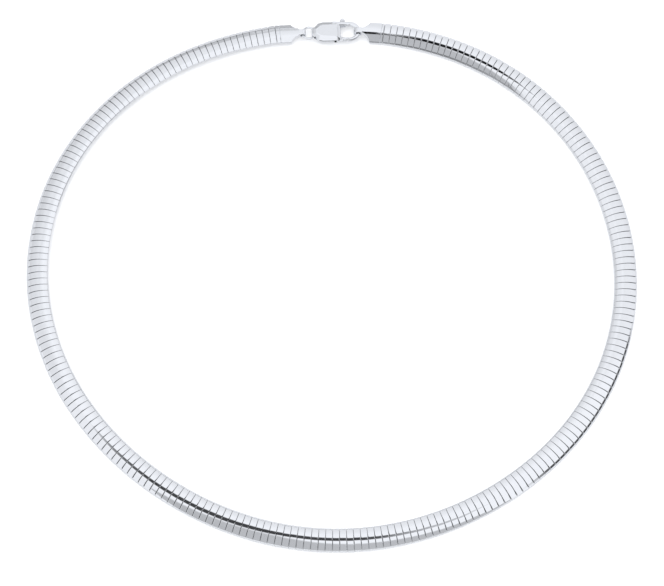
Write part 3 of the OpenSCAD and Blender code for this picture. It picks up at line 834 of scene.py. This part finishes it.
def pillow_skin(c):
    """The clasp's body without its openings: discs wrapped at each level, with bevels."""
    front, y, r = FRONT_DISC
    places = (*BODY_DISCS, (front - r * c.width / c.body, y, r))
    discs = [(x * c.body, side * y * c.width, r * c.width) for x, y, r in places for side in (-1, 1)]
    top = c.height / 2
    profile = [(c.bevel_width * (1 - abs(math.cos(a)) ** c.bevel_flat),
                top - c.crown - c.bevel_height * (1 - math.sin(a) ** c.bevel_flat))
               for a in math.pi / 2 * np.arange(BEVEL_STEPS + 1) / BEVEL_STEPS]
    profile += [(c.bevel_width + done * c.crown_run, top - left * c.crown)
                for done, left in ((0.5, 0.35), (1.0, 0.0))]
    rings = []
    for inset, z in [(inset, -z) for inset, z in profile[::-1]] + profile:
        ring = []
        for a in np.radians(np.arange(0, 360, 3)):
            out_x, out_y = math.cos(a), math.sin(a)
            x, y, r = max(discs, key=lambda d: d[0] * out_x + d[1] * out_y + d[2])
            left = max(r - inset, c.corner)
            ring.append((x + left * out_x, y + left * out_y, z))
        rings.append(np.array(ring))
    return loft(rings)


def hook_skin(c, h):
    """The arm that runs out of the body, the bow and the tip with its closing face."""
    arm_x, arm_y = c.body - c.arm_root, h.radius - c.hook_width * c.arm_width / 2
    path, sections = [], []
    for done in np.linspace(0, 1, 14):
        path.append((arm_x + (h.x - arm_x) * done,
                     arm_y + (h.bow - c.hook_swell / 2 - arm_y) * done, 0))
        t = ease(done)
        width = c.hook_width * (c.arm_width + (1 - c.arm_width) * t) + c.hook_swell * t
        sections.append(bar_section(width, (c.height - c.arm_inset) * (1 - t) + c.hook_height * t))
    for a in np.radians(np.arange(84, -91, -6)):
        extra = c.hook_swell * ease((a - c.bow_plain) / c.bow_fade)
        bow = h.bow - extra / 2
        path.append((h.x + bow * math.cos(a), bow * math.sin(a), 0))
        sections.append(bar_section(c.hook_width + extra, c.hook_height))
    for done in (0.5, 0.75):
        path.append((h.x - done * c.tip_back, -h.bow, 0))
        sections.append(bar_section(c.hook_width, c.hook_height))
    return h.closed_bar(path, sections, c.gate_gap / 2)


def lever_room(c, h, slot):
    """Space of the lever inside the body and along the arm."""
    low, inside = h.hub + c.gate_gap, h.inside - c.slot_side
    nub_end = h.nub_x + c.nub_width / 2 + c.nub_room
    back, front = h.pin_x - c.slot_back, c.body + c.slot_front
    return prism([(back, h.radius), (back, c.width), (nub_end, c.width), (nub_end, inside),
                  (front, inside), (front, -c.width), (h.pin_x - c.slot_side, -c.width),
                  (h.pin_x - low, -c.pin_off - low / 2), (h.pin_x - low, -c.pin_off)], -slot, slot)


def nose_openings(fastening, h):
    """Straight bore through the nose, and the curved tunnel that the ring swings in."""
    c = fastening.clasp
    hole = disc(0, 0, c.tail_bore / 2, 48)
    bore = loft([np.column_stack([hole[:, 0], np.full(len(hole), y), hole[:, 1]])
                 for y in (-h.radius, h.radius)])
    ring_x = -c.ring_radius - fastening.pull(c.tail_bore, c.tail_width)
    path = [(ring_x + c.ring_radius * math.cos(a), c.ring_radius * math.sin(a), -c.ring_drop)
            for a in np.radians(np.arange(-100, 101, 5))]
    across = c.ring_wire + 2 * c.ring_room
    return [bore, sweep(path, [bar_section(across, across, 2.0)] * len(path), (0, 0, 1))]


def clasp_place(fastening):
    return fastening.frame(fastening.tail_at, fastening.heading, fastening.clasp.height / 2)


def clasp_mesh(fastening):
    """Clasp body: pillow-shaped shell with tail eye, arm, hook, lever slot and pin."""
    c = fastening.clasp
    h = Hook(c)
    slot = c.lever_height / 2 + c.lever_gap
    mesh = cast("clasp", [pillow_skin(c), hook_skin(c, h)], c.grain)
    mesh = cut(mesh, [lever_room(c, h, slot), *nose_openings(fastening, h)])
    pin = make_mesh("pin", [prism(disc(h.pin_x, -c.pin_off, c.pin / 2),
                                  -slot - c.pin_end, slot + c.pin_end)])
    bm = bmesh.new()
    bm.from_mesh(mesh)
    bm.from_mesh(pin)
    bm.to_mesh(mesh)
    bm.free()
    return settle(mesh, clasp_place(fastening))


def nub_skin(c, h):
    """Thumb nub: a rounded disc, flat where it meets the arm."""
    y = h.radius + c.nub_height - c.nub_width / 2
    rings = []
    for width, z in [(width, -z) for width, z in reversed(NUB_LEVELS)] + list(NUB_LEVELS):
        outline = disc(h.nub_x, y, c.nub_width / 2 * width)
        outline[:, 1] = np.maximum(outline[:, 1], h.radius + c.gate_gap)
        rings.append(np.column_stack([outline, np.full(len(outline), c.hook_height / 2 * z)]))
    return loft(rings)


def lever_mesh(fastening):
    """The clasp's lever: gate, web, hub, shank and thumb nub."""
    c = fastening.clasp
    h = Hook(c)
    low, high = h.inside + c.shank_inset, h.radius - c.shank_inset
    shank, foot = h.hub * c.shank_width, (c.nub_width - c.shank_inset) / 2
    root, outside, stem = c.body + c.gate_gap, c.gate_gap - h.radius, h.radius + c.nub_height / 2
    web = h.pin_x - c.slot_side + c.gate_gap
    plates = [
        disc(h.pin_x, -c.pin_off, h.hub),
        [(h.pin_x - shank, -c.pin_off), (h.pin_x + shank, -c.pin_off),
         (h.pin_x + shank, high), (h.pin_x - shank, high)],
        [(h.pin_x, low), (h.nub_x + foot, low), (h.nub_x + foot, high), (h.pin_x, high)],
        [(h.nub_x - foot, low), (h.nub_x + foot, low), (h.nub_x + foot, stem), (h.nub_x - foot, stem)],
        [(web, -c.pin_off), (web, outside), (root + c.web_ahead, outside),
         (root + c.web_ahead, -h.inside), (h.pin_x + h.hub, -c.pin_off)],
    ]
    skins = [prism(outline, -c.lever_height / 2, c.lever_height / 2) for outline in plates]
    plain = h.tip - c.gate_plain
    path, bars = [], []
    for x in (*np.linspace(root, plain, 8), h.tip):
        extra = c.hook_swell * ease((plain - x) / c.gate_fade)
        path.append((x, -h.bow + extra / 2, 0))
        bars.append(bar_section(c.hook_width + extra, c.hook_height))
    bars[0] *= c.gate_root
    skins += [h.closed_bar(path, bars, -c.gate_gap / 2), nub_skin(c, h)]
    mesh = cast("lever", skins, c.grain * c.lever_grain, 3)
    bore = prism(disc(h.pin_x, -c.pin_off, c.pin / 2 + c.pin_gap), -c.height / 2, c.height / 2)
    return settle(cut(mesh, [bore]), clasp_place(fastening))


# Finishes


class Nodes:
    """Short way to write node trees."""

    def __init__(self, tree):
        self.tree = tree
        tree.nodes.clear()

    def add(self, kind, **inputs):
        node = self.tree.nodes.new(kind)
        for key, value in inputs.items():
            self.put(node, key, value)
        return node

    def put(self, node, key, value):
        """Sets or links an input, which goes by its name or by in0, in1 and so on."""
        numbered = key.startswith("in") and key[2:].isdigit()
        socket = node.inputs[int(key[2:]) if numbered else key.replace("_", " ")]
        if isinstance(value, bpy.types.NodeSocket):
            self.tree.links.new(value, socket)
        else:
            socket.default_value = value

    def finish(self, shader, kind="ShaderNodeOutputMaterial"):
        self.tree.links.new(shader.outputs[0], self.add(kind).inputs[0])

    def math(self, operation, a, b=None, c=None):
        node = self.tree.nodes.new("ShaderNodeMath")
        node.operation = operation
        for k, value in enumerate((a, b, c)):
            if value is not None:
                self.put(node, f"in{k}", value)
        return node.outputs[0]

    def mix(self, factor, a, b):
        node = self.tree.nodes.new("ShaderNodeMix")
        node.data_type = "RGBA"
        self.put(node, "in0", factor)
        self.put(node, "in6", a)
        self.put(node, "in7", b)
        return node.outputs[2]

    def degrees(self, operation, *values):
        return self.math("MULTIPLY", self.math(operation, *values), math.degrees(1.0))

    def product(self, first, *others):
        for other in others:
            first = self.math("MULTIPLY", first, other)
        return first

    def blend(self, factor, low, high):
        step = self.math("SUBTRACT", high, low)
        return self.math("ADD", low, self.math("MULTIPLY", factor, step))

    def fade(self, value, start, end):
        """Rises smoothly from 0 at start to 1 at end."""
        node = self.tree.nodes.new("ShaderNodeMapRange")
        node.interpolation_type = "SMOOTHSTEP"
        rising = float(end > start)
        for k, part in enumerate((value, min(start, end), max(start, end), 1 - rising, rising)):
            self.put(node, f"in{k}", part)
        return node.outputs[0]

    def ramp(self, factor, low, high):
        return self.add("ShaderNodeMapRange", in0=factor, in3=low, in4=high).outputs[0]


def new_material(name):
    material = bpy.data.materials.new(name)
    material.use_nodes = True
    return material, Nodes(material.node_tree)


def silver_finish(name, rgb, roughness, bump=0.015):
    """Silver with a faintly uneven polish and a fine grain."""
    material, n = new_material(name)
    material.diffuse_color = (*rgb, 1.0)
    place = n.add("ShaderNodeTexCoord").outputs["Object"]
    cloud = n.add("ShaderNodeTexNoise", Vector=place, Scale=POLISH_NOISE, Detail=3.0)
    fine = n.add("ShaderNodeTexNoise", Vector=place, Scale=GRAIN_NOISE, Detail=4.0, Roughness=0.6)
    spot_and_shadow_tone = tuple(c * DULL_SPOT for c in rgb)
    base = n.mix(n.ramp(cloud.outputs["Fac"], 0.0, 1.0), (*rgb, 1.0), (*spot_and_shadow_tone, 1.0))
    rough = n.ramp(cloud.outputs["Fac"], roughness * (1 - POLISH_SPREAD),
                   roughness * (1 + POLISH_SPREAD))
    relief = n.add("ShaderNodeBump", Strength=bump, Distance=GRAIN_DEPTH * MM,
                   Height=fine.outputs["Fac"])
    shader = n.add("ShaderNodeBsdfPrincipled", Base_Color=base, Metallic=1.0, Roughness=rough,
                   Normal=relief.outputs["Normal"])
    n.finish(shader)
    return material


# Operators


class NECKLACE_OT_plates(bpy.types.Operator):
    """Builds the band of polished domed plates"""

    bl_idname = "necklace.plates"
    bl_label = "Domed plates"

    def execute(self, context):
        band = context.scene.necklace_band
        finish = context.scene.necklace_finish
        silver = silver_finish("plate_silver", tuple(finish.plate_silver), finish.plate_roughness)
        piece = add_object("domed_plates", plates_mesh(band), silver)
        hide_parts("plates")
        return {"FINISHED"}


def layout(scene):
    return Fastening(Route(scene.necklace_band), scene.necklace_caps, scene.necklace_clasp)


def fitting_silver(scene):
    ready = bpy.data.materials.get("fitting_silver")
    finish = scene.necklace_finish
    return ready or silver_finish("fitting_silver", tuple(finish.fitting_silver),
                                  finish.fitting_roughness, bump=0.006)


def add_fitting(name, mesh, node, body="necklace"):
    piece = add_object(name, mesh, fitting_silver(bpy.context.scene), body)
    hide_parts(node)


class NECKLACE_OT_ribbon(bpy.types.Operator):
    """Builds the woven ribbon that carries the plates"""

    bl_idname = "necklace.ribbon"
    bl_label = "Woven ribbon"

    def execute(self, context):
        scene = context.scene
        finish = scene.necklace_finish
        wire = silver_finish("wire_silver", tuple(finish.wire_silver), finish.wire_roughness)
        mesh = ribbon_mesh(layout(scene), scene.necklace_ribbon)
        piece = add_object("woven_ribbon", mesh, wire)
        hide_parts("mesh_ribbon")
        return {"FINISHED"}


class NECKLACE_OT_caps(bpy.types.Operator):
    """Builds the two end caps"""

    bl_idname = "necklace.caps"
    bl_label = "End caps"

    def execute(self, context):
        fastening = layout(context.scene)
        for side in ("left", "right"):
            add_fitting(f"cap_{side}", cap_mesh(fastening, side), f"end_cap_{side}")
        return {"FINISHED"}


class NECKLACE_OT_clasp(bpy.types.Operator):
    """Builds the jump ring, the clasp's body and its lever"""

    bl_idname = "necklace.clasp"
    bl_label = "Clasp"

    def execute(self, context):
        fastening = layout(context.scene)
        add_fitting("jump_wire", ring_mesh(fastening), "jump_ring")
        add_fitting("clasp_shell", clasp_mesh(fastening), "clasp_body")
        add_fitting("gate_lever", lever_mesh(fastening), "clasp_lever", "lever")
        return {"FINISHED"}


class NECKLACE_OT_studio(bpy.types.Operator):
    """Builds the floor, the light and the camera"""

    bl_idname = "necklace.studio"
    bl_label = "Studio"

    def execute(self, context):
        studio = context.scene.necklace_studio
        self.floor(studio)
        self.flags(studio)
        self.room(context.scene, studio)
        self.key(context.scene, studio)
        self.camera(context.scene, studio)
        context.scene.view_settings.view_transform = "Standard"
        return {"FINISHED"}

    def floor(self, studio):
        """A pale floor, and a duller twin that only the silver sees, with a painted clasp shadow."""
        for name, white, in_silver in (("floor", studio.floor_white, False),
                                       ("floor_in_silver", studio.floor_in_silver, True)):
            material, n = new_material(name)
            place = n.add("ShaderNodeTexCoord").outputs["Object"]
            cloud = n.add("ShaderNodeTexNoise", Vector=place, Scale=FLOOR_NOISE, Detail=2.0)
            cool = (*(white * part for part in COOL_SPOT), 1)
            tone = n.mix(cloud.outputs["Fac"], (white, white, white, 1), cool)
            if in_silver:
                along = dict(zip("xyz", n.add("ShaderNodeSeparateXYZ", Vector=place).outputs))
                # Painted shadow: behind the clasp the floor that the silver sees is darker, for the
                # clasp's shadow
                behind = n.product(*(n.fade(along[axis], start * MM, end * MM)
                                     for axis, start, end in CLASP_SHADOW_IN_SILVER))
                spot_and_shadow_tone = studio.floor_behind
                tone = n.mix(behind, tone, (spot_and_shadow_tone, spot_and_shadow_tone, spot_and_shadow_tone, 1))
            n.finish(n.add("ShaderNodeBsdfPrincipled", Base_Color=tone, Roughness=0.9,
                           Specular_IOR_Level=0.0, Emission_Color=(1, 1, 1, 1),
                           Emission_Strength=0.0 if in_silver else studio.floor_glow))
            mesh = bpy.data.meshes.new(name)
            bm = bmesh.new()
            bmesh.ops.create_circle(bm, cap_ends=True, radius=6.0, segments=96)
            bm.to_mesh(mesh)
            bm.free()
            self.stand(name, mesh, material, in_silver)

    def stand(self, name, mesh, material, in_silver):
        """Puts up a piece of the stage, seen in nothing but the silver or in all but it."""
        mesh.materials.append(material)
        piece = bpy.data.objects.new(name, mesh)
        bpy.context.scene.collection.objects.link(piece)
        piece.visible_glossy = in_silver
        for rays in ("camera", "diffuse", "shadow", "transmission"):
            setattr(piece, f"visible_{rays}", not in_silver)

    def flags(self, studio):
        """Black and grey flags over the ring, seen only in the silver, as dark streaks."""
        material, n = new_material("flag_black")
        cover = n.add("ShaderNodeAttribute")
        cover.attribute_name = "cover"
        black = n.add("ShaderNodeBsdfDiffuse", Color=FLAG_BLACK)
        clear = n.add("ShaderNodeBsdfTransparent")
        n.finish(n.add("ShaderNodeMixShader", in0=cover.outputs["Fac"], in1=clear.outputs[0],
                       in2=black.outputs[0]))
        for name, stripe in STRIPES.items():
            spine = np.array(stripe, float)
            rows = []
            for k, (x, y, half, dark) in enumerate(spine):
                ahead = spine[min(k + 1, len(spine) - 1), :2] - spine[max(k - 1, 0), :2]
                side = half * np.array([-ahead[1], ahead[0]]) / np.linalg.norm(ahead)
                rows.append([(x + out * side[0], y + out * side[1], dark * level)
                             for out, level in FLAG_SECTION])
            self.flag(name, rows, material, studio.flag_height)
        for name, (height, dark, soft, edges) in GREY_FLAGS.items():
            rows = [[(x, y, 0.0), (x + soft * (far_x - x), y + soft * (far_y - y), dark),
                     (far_x, far_y, dark)] for x, y, far_x, far_y in edges]
            for row in (rows[0], rows[-1]):
                row[:] = [(x, y, 0.0) for x, y, dark_there in row]
            self.flag(name, rows, material, height * MM)

    def flag(self, name, rows, material, height):
        n = len(rows[0])
        points = [(x * MM, y * MM, height) for row in rows for x, y, dark in row]
        faces = [(n * k + j, n * k + j + 1, n * k + n + j + 1, n * k + n + j)
                 for k in range(len(rows) - 1) for j in range(n - 1)]
        mesh = bpy.data.meshes.new(name)
        mesh.from_pydata(points, [], faces)
        darks = [dark for row in rows for x, y, dark in row]
        mesh.attributes.new("cover", "FLOAT", "POINT").data.foreach_set("value", darks)
        self.stand(name, mesh, material, True)

    def room(self, scene, studio):
        """A white room, dimmer towards its far end, on its left and in a patch low on the right."""
        world = bpy.data.worlds.new("room")
        world.use_nodes = True
        scene.world = world
        n = Nodes(world.node_tree)
        ray = n.add("ShaderNodeSeparateXYZ", Vector=n.add("ShaderNodeTexCoord").outputs["Generated"])
        x, y, z = ray.outputs
        over = n.degrees("ARCTAN2", y, z)
        turns = {"up": n.degrees("ARCSINE", z), "round": n.degrees("ARCTAN2", y, x)}
        far = n.blend(n.fade(over, *FAR_FADE), studio.room_light, studio.room_light * studio.far_light)
        left = n.blend(n.fade(x, *LEFT_FADE), 1.0, studio.left_light)
        patch = n.product(*(n.fade(turns[turn], start, end) for turn, start, end in DIM_PATCH))
        dim = n.math("MULTIPLY_ADD", patch, studio.patch_light - 1.0, 1.0)
        n.finish(n.add("ShaderNodeBackground", Color=(*studio.room_colour, 1.0),
                       Strength=n.product(far, left, dim)), "ShaderNodeOutputWorld")

    def key(self, scene, studio):
        light = bpy.data.lights.new("key", "SUN")
        light.energy = studio.key_light
        light.angle = studio.key_spread
        piece = bpy.data.objects.new("key", light)
        piece.rotation_euler = (-studio.key_lean, 0, 0)
        piece.visible_glossy = False
        scene.collection.objects.link(piece)

    def camera(self, scene, studio):
        data = bpy.data.cameras.new("camera")
        data.lens = studio.lens
        data.sensor_width = 36.0
        data.clip_start = 0.01
        piece = bpy.data.objects.new("camera", data)
        up = studio.elevation
        piece.location = (studio.look_x,
                          studio.look_y - studio.distance * math.cos(up),
                          studio.distance * math.sin(up))
        piece.rotation_euler = (math.pi / 2 - up, 0, 0)
        scene.collection.objects.link(piece)
        scene.camera = piece


class NECKLACE_PT_panel(bpy.types.Panel):
    """Lists the necklace's pieces and sizes"""

    bl_idname = "NECKLACE_PT_panel"
    bl_label = "Omega Necklace"
    bl_space_type = "VIEW_3D"
    bl_region_type = "UI"
    bl_category = "Necklace"

    def draw(self, context):
        for operator in STEPS:
            self.layout.operator(operator.bl_idname)
        for name in SETTINGS:
            group = getattr(context.scene, name)
            box = self.layout.box()
            for key in group.__annotations__:
                box.prop(group, key)


SETTINGS = {
    "necklace_band": BandSettings,
    "necklace_ribbon": RibbonSettings,
    "necklace_caps": CapSettings,
    "necklace_clasp": ClaspSettings,
    "necklace_finish": FinishSettings,
    "necklace_studio": StudioSettings,
}
STEPS = (NECKLACE_OT_plates, NECKLACE_OT_ribbon, NECKLACE_OT_caps, NECKLACE_OT_clasp,
         NECKLACE_OT_studio)
CLASSES = (*SETTINGS.values(), *STEPS, NECKLACE_PT_panel)


def register():
    for cls in CLASSES:
        bpy.utils.register_class(cls)
    for name, group in SETTINGS.items():
        setattr(bpy.types.Scene, name, PointerProperty(type=group))


def unregister():
    for name in SETTINGS:
        delattr(bpy.types.Scene, name)
    for cls in reversed(CLASSES):
        bpy.utils.unregister_class(cls)


def main():
    register()
    bpy.ops.necklace.plates()
    bpy.ops.necklace.ribbon()
    bpy.ops.necklace.caps()
    bpy.ops.necklace.clasp()
    bpy.ops.necklace.studio()


if __name__ == "__main__":
    main()
